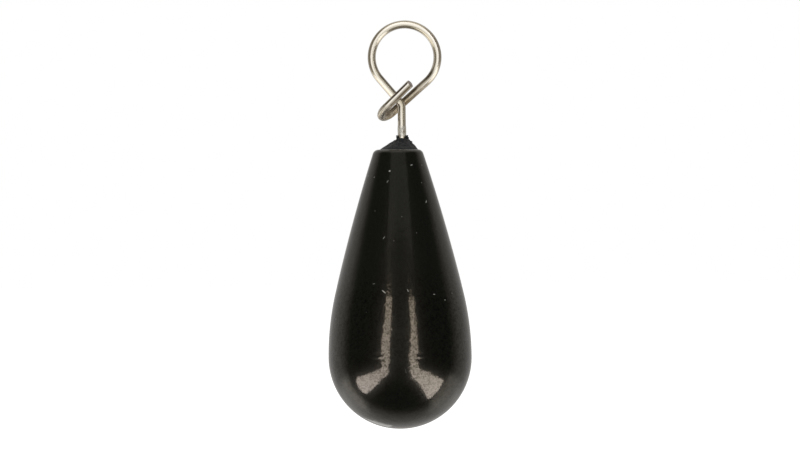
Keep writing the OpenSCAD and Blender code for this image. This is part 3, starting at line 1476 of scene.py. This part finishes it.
@dataclass
class LineClip:
    """One wire: head, shank, ring, hook and bar.

    Its walk fills in its starts, the distances along the wire at which its parts begin. The numbers named
    round, along and per_mm say how finely its skin changes, and a seed picks the pattern.
    """

    shape: ClipShape
    sides: int = 40
    head_round: float = 0.02
    head_step: float = 0.01
    tip_round: float = 0.03
    # How far back from the tip and how far in, as shares of its rounding
    tip_profile: tuple[Point2, ...] = ((1.0, 0.0), (0.4, 0.3), (0.0, 1.0))
    uneven: float = 0.004
    uneven_round: float = 1.3
    uneven_along: float = 1.4
    smear_span: Span = (0.85, 1.66)
    smear_ragged: float = 0.14
    smear_ragged_round: float = 1.5
    smear_ragged_seed: float = 7.0
    smear_edge: float = 0.08
    smear_least: float = 0.12
    smear_middle: float = 0.62
    smear_lumps: float = 0.6
    smear_lumps_round: float = 1.8
    smear_lumps_per_mm: float = 4.5
    smear_t: float = 0.03
    cut_len: float = 0.5
    cut_tilt: float = 24.0
    cut_side: Colour = (0.2, -1.0, -0.2)
    band_fade: float = 0.5
    band_middle: float = 0.9
    band_ragged: float = 0.3
    band_ragged_per_mm: float = 1.1
    # Dark bands set by the side they face: mostly painted dark reflection, with painted shade on the second
    # leg near the bar
    scores_and_painted_reflections: tuple[ScoreAndPaintedReflection, ...] = (
        ScoreAndPaintedReflection((WirePart.BAR, -0.4), (WirePart.TIP, 0.3), (-0.46, -0.76, 0.46), 19.0, 1.05),
        ScoreAndPaintedReflection((WirePart.BAR, -0.2), (WirePart.TIP, 0.3), (0.37, -0.85, -0.37), 24.0, 1.15),
        ScoreAndPaintedReflection((WirePart.BAR, -0.6), (WirePart.TIP, 0.3), (0.69, -0.21, -0.69), 15.0, 0.9),
        ScoreAndPaintedReflection((WirePart.BAR, -0.6), (WirePart.BAR, 1.6), (0.5, -0.71, -0.5), 32.0, 0.8),
        ScoreAndPaintedReflection((WirePart.LEG, -1.2), (WirePart.LEG, 2.8), (-0.4, -0.82, 0.4), 32.0, 0.93),
        ScoreAndPaintedReflection((WirePart.LEG, -0.4), (WirePart.LEG, 2.8), (0.5, -0.7, -0.5), 19.0, 0.75),
        ScoreAndPaintedReflection((WirePart.LEG, 2.2), (WirePart.HOOK, 0.9), (-0.45, -0.77, 0.45), 52.0, 0.93),
        ScoreAndPaintedReflection((WirePart.NECK, 0.5), (WirePart.RING, 0.6), (0.45, -0.77, 0.45), 31.0, 0.72),
        ScoreAndPaintedReflection((WirePart.RING, -0.8), (WirePart.RING, 1.4), (0.6, -0.7, 0.3), 24.0, 0.45),
        ScoreAndPaintedReflection((WirePart.RING, 0.5), (WirePart.CROWN, -1.0), (-0.85, -0.5, 0.1), 14.0, 0.4),
        ScoreAndPaintedReflection((WirePart.RING, 3.4), (WirePart.CROWN, 0.8), (0.0, -0.3, -0.9), 20.0, 0.35),
        ScoreAndPaintedReflection((WirePart.CROWN, 1.8), (WirePart.LEG, -1.4), (0.85, -0.5, 0.1), 15.0, 0.55),
    )
    # How far the painted shade reaches from the crossing, and how strong and long it is at the neck
    crossing_shade_reach: float = 2.4
    neck_painted_shade: float = 0.4
    neck_painted_shade_reach: float = 0.8
    rub_fade: float = 0.4
    starts: dict[WirePart, float] = field(default_factory=dict)

    def path(self) -> WirePath:
        """Walks the wire's centre line from its head to the bar's tip.

        Returns:
            The path.
        """
        shape, starts = self.shape, self.starts
        tilt, half = math.radians(shape.hook_tilt), math.radians(shape.half_cross)
        neck_lean = shape.half_cross - shape.ring_lean
        tangent = shape.neck_bend_r * math.tan(math.radians(neck_lean / 2))
        pass_depth = 2 * shape.wire_r + shape.hook_gap
        lean = math.asin(pass_depth / (shape.ring_r + shape.cross_dist))
        hook_depth = pass_depth + shape.hook_reach * math.cos(half) * math.sin(lean)
        hook_r = (hook_depth + pass_depth) / (2 * math.cos(tilt) * math.cos(lean))
        path = WirePath(Matrix.Translation((shape.swivel_x, 0, shape.head_z)))
        path.walk(shape.cross_z - tangent - shape.head_z)
        starts[WirePart.NECK] = path.run
        path.roll(180).bend(shape.neck_bend_r, neck_lean, step=0.05).walk(shape.leg_len - tangent)
        starts[WirePart.RING] = path.run
        path.roll(180).bend(shape.ring_r, 90 + shape.half_cross)
        starts[WirePart.CROWN] = path.run
        path.roll(math.degrees(lean)).bend(shape.ring_r, 90 + shape.half_cross)
        starts[WirePart.LEG] = path.run
        path.walk(shape.leg_len + shape.hook_reach)
        starts[WirePart.HOOK] = path.run
        path.roll(shape.hook_tilt - 90).bend(hook_r, 180, step=0.06)
        starts[WirePart.BAR] = path.run
        path.roll(shape.bar_turn).bend(4 * shape.wire_r, shape.bar_bend, step=0.04)
        path.walk(shape.bar_len, step=0.1)
        starts[WirePart.TIP] = path.run
        return path

    def shift(self, place: WirePoint, turn: float) -> float:
        """Gives how far the wire's skin stands out from its true round.

        Args:
            place: The place along the wire.
            turn: The angle round the wire.

        Returns:
            The distance: the drawn wire's unevenness, less than 0, and the glue smear.
        """
        out = spoke(turn)
        along = place.run * self.uneven_along
        drawn = wave(Vector((out.x, out.y, along)) * self.uneven_round)
        return -self.uneven * drawn + self.smear_t * self.smear(place.centre.z, out)

    def score_and_reflection_darkness(self, place: WirePoint, out: Vector) -> float:
        """Gives how dark the dark bands are at a point of the skin: drawing lines and painted dark
        reflection.

        Args:
            place: The place along the wire.
            out: The direction out of the wire there.

        Returns:
            From 0, bright, to 1.
        """
        dark = 0.0
        for score_and_painted_reflection in self.scores_and_painted_reflections:
            start = self.starts[score_and_painted_reflection.start[0]] + score_and_painted_reflection.start[1]
            end = self.starts[score_and_painted_reflection.end[0]] + score_and_painted_reflection.end[1]
            fade = min((place.run - start) / self.band_fade, (end - place.run) / self.band_fade, 1.0)
            if fade <= 0:
                continue
            side = square_to(Vector(score_and_painted_reflection.side), place.forward)
            away = math.degrees(math.acos(clamped(side.dot(out), -1.0))) / score_and_painted_reflection.wide
            ragged = noise.noise(Vector((score_and_painted_reflection.wide, 0, place.run * self.band_ragged_per_mm)))
            ragged = self.band_middle + self.band_ragged * ragged
            dark = max(dark, score_and_painted_reflection.dark * fade * ragged * math.exp(-away**4))
        return min(1.0, dark)

    def painted_crossing_shade_at(self, run: float) -> float:
        """Gives the brown painted shade at a distance along the wire: most where the second leg crosses.

        Args:
            run: The distance.

        Returns:
            From 0, unshaded, to 1.
        """
        from_crossing = abs(run - self.starts[WirePart.LEG] - self.shape.leg_len)
        from_neck = abs(run - self.starts[WirePart.NECK] - self.neck_painted_shade_reach / 2)
        behind = 1 - from_crossing / self.crossing_shade_reach
        return max(0.0, behind, self.neck_painted_shade * (1 - from_neck / self.neck_painted_shade_reach))

    def rubbed(self, run: float) -> float:
        """Gives how dull the bending tool rubbed the wire at a distance along it.

        Args:
            run: The distance.

        Returns:
            From 0, bright, to 1 round the hook.
        """
        into, out = run - self.starts[WirePart.HOOK], self.starts[WirePart.BAR] - run
        return clamped(1 + min(into, out) / self.rub_fade)

    def cut_tip(self, sections: Sequence[tuple[WirePoint, float]], points: list[Vector]) -> None:
        """Makes the wire's cut end slant, as side cutters leave it.

        Args:
            sections: The wire's sections.
            points: The skin's points, which are moved.
        """
        last = sections[-1][0]
        side = square_to(Vector(self.cut_side), last.forward)
        slope = math.tan(math.radians(self.cut_tilt))
        places = [place for place, _ in sections for _ in range(self.sides)] + [sections[0][0], last]
        for number, place in enumerate(places):
            near = (place.run - last.run) / self.cut_len + 1
            if near > 0:
                off = (points[number] - place.centre).dot(side) + self.shape.wire_r
                points[number] -= last.forward * near * slope * off

    def smear(self, height: float, out: Vector) -> float:
        """Gives how thick the glue smear is at a place on the shank.

        Args:
            height: The height of the place.
            out: The direction round the wire.

        Returns:
            From 0, bare, to 1.
        """
        up = height - self.shape.top_z
        start, end = self.smear_span
        if not start - 2 * self.smear_ragged < up < end + 2 * self.smear_ragged:
            return 0.0
        edge, lump = self.smear_ragged_round, self.smear_lumps_round
        ragged = noise.noise(Vector((out.x * edge, out.y * edge, self.smear_ragged_seed)))
        ragged = self.smear_ragged * ragged
        low = clamped((up - start - ragged) / self.smear_edge)
        high = clamped((end + ragged - up) / self.smear_edge)
        lumpy = noise.noise(Vector((out.x * lump, out.y * lump, up * self.smear_lumps_per_mm)))
        return low * high * clamped(self.smear_middle + self.smear_lumps * lumpy, self.smear_least)

    def sections(self) -> list[tuple[WirePoint, float]]:
        """Lists the wire's sections from the head's underside to the rounded tip.

        Returns:
            Places along the wire, each with the wire's radius there.
        """
        shape = self.shape
        path = self.path()
        start, last = path.points[0], path.points[-1]
        step = (shape.head_r - shape.wire_r) / 2

        def below(depth: float) -> WirePoint:
            """Returns the place at that depth below the head's top face."""
            return WirePoint(start.centre + Vector((0, 0, -1)) * depth, start.side, start.front, -depth)

        made = [
            (below(shape.head_h), shape.head_r - step),
            (below(shape.head_h - step), shape.head_r),
            (below(self.head_round), shape.head_r),
            (below(0.0), shape.head_r - self.head_round),
            (below(0.0), shape.wire_r + self.head_step),
        ]
        made += [(place, shape.wire_r) for place in path.points[:-1]]
        for share, drop in self.tip_profile:
            back = self.tip_round * share
            spot = WirePoint(last.centre - last.forward * back, last.side, last.front, last.run - back)
            made.append((spot, shape.wire_r - self.tip_round * drop))
        return made

    def build(self, finish: bpy.types.Material) -> bpy.types.Object:
        """Builds the wire.

        Args:
            finish: The nickel.

        Returns:
            The wire.
        """
        sections = self.sections()
        points, faces, runs = drawn_wire(sections, self.sides, self.shift)
        turns = [math.tau * i / self.sides for i in range(self.sides)]
        score_and_reflection_darkness = [self.score_and_reflection_darkness(place, place.out(turn)) for place, _ in sections for turn in turns]
        cut = [0.0] * len(points)
        cut[-1] = 1.0
        cut[-2 - self.sides:-2] = [1.0] * self.sides
        self.cut_tip(sections, points)
        neck, bar = self.starts[WirePart.NECK], self.starts[WirePart.BAR]
        smears = [self.smear(p.z, Vector((run.x, run.y, 0))) if run.z < neck else 0.0
                  for p, run in zip(points, runs)]
        made = new_piece("clip_wire", points, faces, finish)
        for name, values in (
            ("wire_score_and_painted_reflection", score_and_reflection_darkness + [0.0, 0.0]),
            ("wire_cut", cut),
            ("wire_bar", [clamped(run.z - bar) for run in runs]),
            ("wire_painted_crossing_shade", [self.painted_crossing_shade_at(run.z) for run in runs]),
            ("wire_rub", [self.rubbed(run.z) for run in runs]),
            ("wire_run", runs),
            ("glue_smear", smears),
        ):
            keep_attribute(made, name, values)
        return made

    @staticmethod
    def dress(made: bpy.types.Object) -> None:
        """Sets what the wire rides on."""
        ride(made, Rider.CLIP, Slot.WIRE, "line_clip")


# The studio


@dataclass(frozen=True)
class GlossCard:
    """A light panel that only shows in gloss, drawn by the directions of its corners.

    Each corner is an angle from the front towards +X and an angle up. Its lights are those of its lowest
    and its highest corner, and so are its colours where it has two.
    """

    name: str
    shown: GlossOn
    corners: tuple[Point2, ...]
    colour: Colour
    lights: Span
    high_colour: Colour | None = None


LEFT_WINDOW: tuple[Point2, ...] = (
    (-24, 24), (-13.5, 24), (-14, 15), (-16, 5), (-17.5, 0), (-18.5, -10), (-19, -20), (-21, -25),
    (-30, -30), (-40, -36.5), (-50, -41), (-62, -44.5), (-77, -46.5), (-84, -46), (-88, -42), (-89, -36),
    (-86, -29), (-80, -25.5), (-70, -24), (-55, -22), (-38, -19), (-31.5, -15), (-30, -5), (-29, 5),
    (-25.5, 16),
)
RIGHT_WINDOW: tuple[Point2, ...] = (
    (17, 23), (24.8, 22.8), (26.5, 15), (27, 5), (27.5, 0), (29.5, -12), (33, -18.5), (50, -22.5),
    (62, -26.5), (73, -27.5), (83, -28.5), (84.5, -34), (85, -41), (84, -49), (83, -56), (73, -56),
    (60, -52), (50, -47.5), (40, -42.5), (32, -39), (27, -35.5), (21, -32), (17, -25), (15.5, -15),
    (16, 0), (17, 10),
)
TOP_PANEL: tuple[Point2, ...] = (
    (-27, 28), (29.5, 28), (31, 30), (38, 37), (46, 50), (60, 78), (-60, 78), (-44, 50), (-35.5, 37),
    (-27.5, 30),
)
CLIP_LEFT_PANEL: tuple[Point2, ...] = (
    (-18, -22), (-36, -16), (-60, -18), (-92, -24), (-92, -42), (-66, -48), (-45, -60), (-24, -56),
)
CLIP_RIGHT_PANEL: tuple[Point2, ...] = ((30, -14), (36, -36), (55, -46), (90, -50), (92, -26), (60, -14))
CLIP_FRONT_PANEL: tuple[Point2, ...] = (
    (-34, -24), (32, -24), (34, 25), (41, 40), (43, 64), (-43, 64), (-41, 40), (-36, 25),
)
LOW_BACK_PANEL: tuple[Point2, ...] = ((-176, -24), (-167, -23), (-164, -36), (-175, -39))
WINDOW_HIGH: Colour = (1.0, 0.82, 0.64)


def upright(left: float, right: float, low: float, high: float) -> tuple[Point2, ...]:
    """Returns the corners of a panel with level and upright edges."""
    return (left, low), (right, low), (right, high), (left, high)


@dataclass(frozen=True)
class Surroundings:
    """What lies all round, by its direction: X to the right, Y to the back and Z up, each from -1 to 1.

    Gloss shows a dim front and a pale back, with a table low down whose edge is nearer on the right, and
    light above. Each ramp gives a range of directions and the strengths at its two ends.
    """

    front_to_back: Ramp = ((-0.06, 0.42), (0.048, 0.5))
    table_top: Ramp = ((-0.26, -0.42), (0.0, 0.9))
    table_foot: Ramp = ((-0.7, -0.84), (1.0, 0.0))
    table_front: Ramp = ((0.08, 0.26), (0.0, 1.0))
    table_back: Ramp = ((0.35, 0.65), (1.0, 0.4))
    table_sides: Ramp = ((0.3, 0.6), (0.15, 1.0))
    right_lift: float = 0.12
    right_forward: float = 0.2
    right_dimming: Ramp = ((0.0, 1.0), (1.0, 0.84))
    above: Ramp = ((0.62, 0.95), (0.0, 0.5))
    below: Ramp = ((-0.75, -0.95), (1.0, 0.9))
    diffuse: float = 0.62
    tint_span: Span = (0.1, 0.8)
    front_tint: Colour = (1, 0.91, 0.77)
    back_tint: Colour = (1, 0.97, 0.93)

    def gloss(self, shade: Shade, way: bpy.types.NodeOutputs) -> bpy.types.NodeSocket:
        """Gives the strength that gloss shows in each direction.

        Args:
            shade: The world's node tree.
            way: The direction's sockets X, Y and Z.

        Returns:
            The strength's socket.
        """
        behind = shade.remap(way["Y"], *self.front_to_back, Easing.SOFT)
        right = shade.most(way["X"], 0.0)
        level = shade.plus(way["Z"], shade.times(right, self.right_lift))
        back = shade.plus(way["Y"], shade.times(right, self.right_forward))
        lifted = shade.remap(way["Z"], *self.table_top, Easing.SOFT)
        ended = shade.remap(level, *self.table_foot, Easing.SOFT)
        near = shade.remap(back, *self.table_front, Easing.SOFT)
        far = shade.remap(back, *self.table_back, Easing.SOFT)
        wide = shade.remap(shade.math("ABSOLUTE", way["X"]), *self.table_sides, Easing.SOFT)
        table = shade.times(shade.times(lifted, ended), shade.times(near, wide))
        table = shade.times(table, far)
        above = shade.remap(way["Z"], *self.above, Easing.SOFT)
        below = shade.remap(way["Z"], *self.below, Easing.SOFT)
        gloss = shade.times(shade.plus(behind, table), below)
        gloss = shade.times(gloss, shade.remap(right, *self.right_dimming))
        return shade.plus(gloss, above)

    def build(self) -> None:
        """Sets the surroundings: white to the camera, and in gloss pale behind and dim in front."""
        world = bpy.data.worlds.new("studio")
        world.use_nodes = True
        bpy.context.scene.world = world
        shade = Shade(world.node_tree)
        ray = shade.add("LightPath").outputs
        way = shade.parts(shade.add("TexCoord").outputs["Generated"])
        gloss = self.gloss(shade, way)
        white = shade.most(ray["Is Camera Ray"], ray["Is Transmission Ray"])
        soft = shade.plus(shade.times(gloss, ray["Is Glossy Ray"]),
                          shade.times(ray["Is Diffuse Ray"], self.diffuse))
        strength = shade.plus(white, soft)
        warm = shade.mix(shade.remap(way["Y"], self.tint_span), rgba(self.front_tint), rgba(self.back_tint))
        tint = shade.mix(ray["Is Glossy Ray"], rgba(WHITE), warm)
        all_round = shade.add("Background", {"Color": tint, "Strength": strength})
        shade.add("OutputWorld", {"Surface": all_round.outputs[0]})


@dataclass
class Studio:
    """Plain floor, white surroundings and soft light."""

    floor_z: float = -30.0
    floor_size: float = 1600.0
    floor_steps: int = 8
    floor_colour: Colour = (0.86, 0.86, 0.86)
    floor_glow: float = 0.55
    lamp_size: float = 260.0
    lamp_power: float = 0.32
    lamp_at: Vector = field(default_factory=lambda: Vector((-60, -80, 320)))
    lamp_towards: Vector = field(default_factory=lambda: Vector((0, 0, -15)))
    card_distance: dict[GlossOn, float] = field(
        default_factory=lambda: {GlossOn.WEIGHT: 280.0, GlossOn.CLIP: 240.0})
    card_centre: Vector = field(default_factory=lambda: Vector((-0.5, 0, -17.0)))
    cards: tuple[GlossCard, ...] = (
        GlossCard("left_panel", GlossOn.WEIGHT, LEFT_WINDOW, (1.0, 0.88, 0.79), (7.3, 4.6), WINDOW_HIGH),
        GlossCard("right_panel", GlossOn.WEIGHT, RIGHT_WINDOW, (1.0, 0.88, 0.77), (7.4, 4.8), WINDOW_HIGH),
        GlossCard("upper_middle_panel", GlossOn.WEIGHT, ((-16, 4), (15, 4), (15, 28), (-12, 28)),
                  (1.0, 0.98, 0.86), (0.12, 0.04)),
        GlossCard("lower_middle_panel", GlossOn.WEIGHT, ((-20, -50), (20, -50), (15, 4), (-16, 4)),
                  (1.0, 0.98, 0.86), (0.0, 0.12)),
        GlossCard("top_panel", GlossOn.WEIGHT, TOP_PANEL, (1.0, 0.99, 0.86), (0.21, 0.26)),
        GlossCard("low_back_panel", GlossOn.WEIGHT, LOW_BACK_PANEL, (1.0, 0.99, 0.95), (0.7, 0.7)),
        GlossCard("clip_left_panel", GlossOn.CLIP, CLIP_LEFT_PANEL, (1.0, 0.96, 0.88), (1.6, 1.6)),
        GlossCard("clip_right_panel", GlossOn.CLIP, CLIP_RIGHT_PANEL, (1.0, 0.96, 0.88), (1.5, 1.5)),
        GlossCard("clip_front_panel", GlossOn.CLIP, CLIP_FRONT_PANEL, (1.0, 0.99, 0.96), (1.25, 1.65)),
        GlossCard("clip_left_fill", GlossOn.CLIP, upright(-118, -34, -82, 60),
                  (1.0, 0.9, 0.74), (0.26, 0.26)),
        GlossCard("clip_right_fill", GlossOn.CLIP, upright(32, 118, -82, 60),
                  (1.0, 0.9, 0.74), (0.26, 0.26)),
        GlossCard("clip_low_fill", GlossOn.CLIP, upright(-34, 32, -86, -24),
                  (1.0, 0.9, 0.76), (0.3, 0.3)),
    )

    def build_floor(self) -> None:
        """Builds the floor, which glows to the camera so that it shows white."""
        half = self.floor_size / 2
        count = self.floor_steps
        row = count + 1
        points = [Vector((half * (2 * i / count - 1), half * (2 * j / count - 1), self.floor_z))
                  for j in range(row) for i in range(row)]
        faces = [[j * row + i, j * row + i + 1, (j + 1) * row + i + 1, (j + 1) * row + i]
                 for j in range(count) for i in range(count)]
        made, shade = new_material("floor_paper")
        seen = shade.add("LightPath").outputs["Is Camera Ray"]
        lit = shade.add("BsdfDiffuse", {"Color": rgba(self.floor_colour)})
        strength = shade.times(seen, self.floor_glow)
        close_sum(shade, lit, shade.add("Emission", {"Color": rgba(WHITE), "Strength": strength}))
        floor = new_piece("floor", points, faces, made)
        floor.visible_glossy = False

    def build_card(self, card: GlossCard) -> None:
        """Builds a panel that only gloss shows.

        Args:
            card: The panel.
        """
        points = []
        for azimuth, height in card.corners:
            a, e = math.radians(azimuth), math.radians(height)
            way = Vector((math.sin(a) * math.cos(e), -math.cos(a) * math.cos(e), math.sin(e)))
            points.append(self.card_centre + way * self.card_distance[card.shown])
        made, shade = new_material(card.name)
        where = shade.parts(shade.place())["Z"]
        heights = min(point.z for point in points), max(point.z for point in points)
        power = shade.remap(where, heights, card.lights)
        upward = shade.remap(where, heights)
        tint = shade.mix(upward, rgba(card.colour), rgba(card.high_colour or card.colour))
        # A clear shader lets the gloss of the pieces that don't show the panel pass
        close_sum(shade, shade.add("Emission", {"Color": tint, "Strength": power}),
                  shade.add("BsdfTransparent"))
        made.cycles.emission_sampling = "FRONT_BACK"
        panel = new_piece(card.name, points, [list(range(len(points)))], made)
        panel.light_linking.receiver_collection = self.receivers(card.shown)
        panel.data.polygons.foreach_set("use_smooth", [False] * len(panel.data.polygons))
        panel.visible_camera = panel.visible_diffuse = panel.visible_shadow = False
        panel.visible_transmission = panel.visible_volume_scatter = False

    @staticmethod
    def receivers(shown: GlossOn) -> bpy.types.Collection:
        """Returns the collection of the pieces that show a panel."""
        return bpy.data.collections.get(shown.value) or bpy.data.collections.new(shown.value)

    def show_panels(self, piece: bpy.types.Object, shown: GlossOn) -> None:
        """Lets a piece show its panels in its gloss."""
        self.receivers(shown).objects.link(piece)

    def build_lamp(self) -> None:
        """Hangs one broad soft lamp above the sinker."""
        data = bpy.data.lights.new("overhead_lamp", "AREA")
        data.shape = "DISK"
        data.size = self.lamp_size * MM
        data.energy = self.lamp_power
        lamp = bpy.data.objects.new("overhead_lamp", data)
        lamp.location = self.lamp_at * MM
        lamp.rotation_euler = (self.lamp_towards * MM - lamp.location).to_track_quat("-Z", "Y").to_euler()
        lamp.visible_camera = False
        lamp.visible_glossy = False
        bpy.context.scene.collection.objects.link(lamp)

    def build(self) -> None:
        """Builds the floor, the surroundings, the panels and the lamp."""
        self.build_floor()
        Surroundings().build()
        for card in self.cards:
            self.build_card(card)
        self.build_lamp()
        view = bpy.context.scene.view_settings
        view.view_transform = "Standard"
        LOG.info("studio: floor, %d gloss panels and a lamp", len(self.cards))


@dataclass
class PhotoCamera:
    """The camera, level with the sinker and square to the ring. Its roll is in degrees."""

    lens: float = 150.0
    sensor: float = 36.0
    width: int = 800
    height: int = 450
    per_pixel: float = 0.0684
    roll: float = 0.589
    ring_at: Point2 = (404.6, 57.3)
    clip_span: Span = (10.0, 10000.0)

    def build(self) -> None:
        """Sets the camera so that the ring's centre falls on its place in the photograph."""
        turn = math.radians(self.roll)
        right = Vector((math.cos(turn), 0, -math.sin(turn)))
        up = Vector((math.sin(turn), 0, math.cos(turn)))
        across = (self.width / 2 - self.ring_at[0]) * self.per_pixel
        down = (self.height / 2 - self.ring_at[1]) * self.per_pixel
        distance = self.width * self.per_pixel * self.lens / self.sensor
        spot = right * across - up * down + Vector((0, -distance, 0))
        data = bpy.data.cameras.new("photo_camera")
        data.lens, data.sensor_width = self.lens, self.sensor
        data.clip_start, data.clip_end = self.clip_span[0] * MM, self.clip_span[1] * MM
        made = bpy.data.objects.new("photo_camera", data)
        axes = Matrix((right, up, Vector((0, -1, 0)))).transposed()
        made.matrix_world = Matrix.Translation(spot * MM) @ axes.to_4x4()
        bpy.context.scene.collection.objects.link(made)
        bpy.context.scene.camera = made


def main() -> None:
    """Builds the sinker and the studio round it, piece by piece."""
    logging.basicConfig(level=logging.INFO, format="%(name)s %(message)s")
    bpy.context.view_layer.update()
    PhotoCamera().build()
    studio = Studio()
    studio.build()

    clip_shape, weight_shape = ClipShape(), WeightShape()
    axis_x = clip_shape.swivel_x - weight_shape.swivel_offset
    widest_z = clip_shape.top_z - weight_shape.top_h
    lacquer = LacquerFinish().make(weight_shape, Vector((axis_x, 0, widest_z)))
    glue, wire = GlueFinish().make(), WireFinish().make()
    brass, tungsten = BrassFinish().make(), TungstenFinish().make()

    weight = LacqueredWeight(weight_shape, axis_x, widest_z)
    coat = weight.build_coat(lacquer)
    weight.dress(coat, tungsten)
    studio.show_panels(coat, GlossOn.WEIGHT)

    swivel = Swivel(clip_shape)
    swivel.dress(brass, wire)

    fill = GlueFill(clip_shape, weight_shape)
    fill.dress(fill.build(swivel, glue))

    clip = LineClip(clip_shape)
    bent = clip.build(wire)
    clip.dress(bent)
    studio.show_panels(bent, GlossOn.CLIP)


if __name__ == "__main__":
    main()
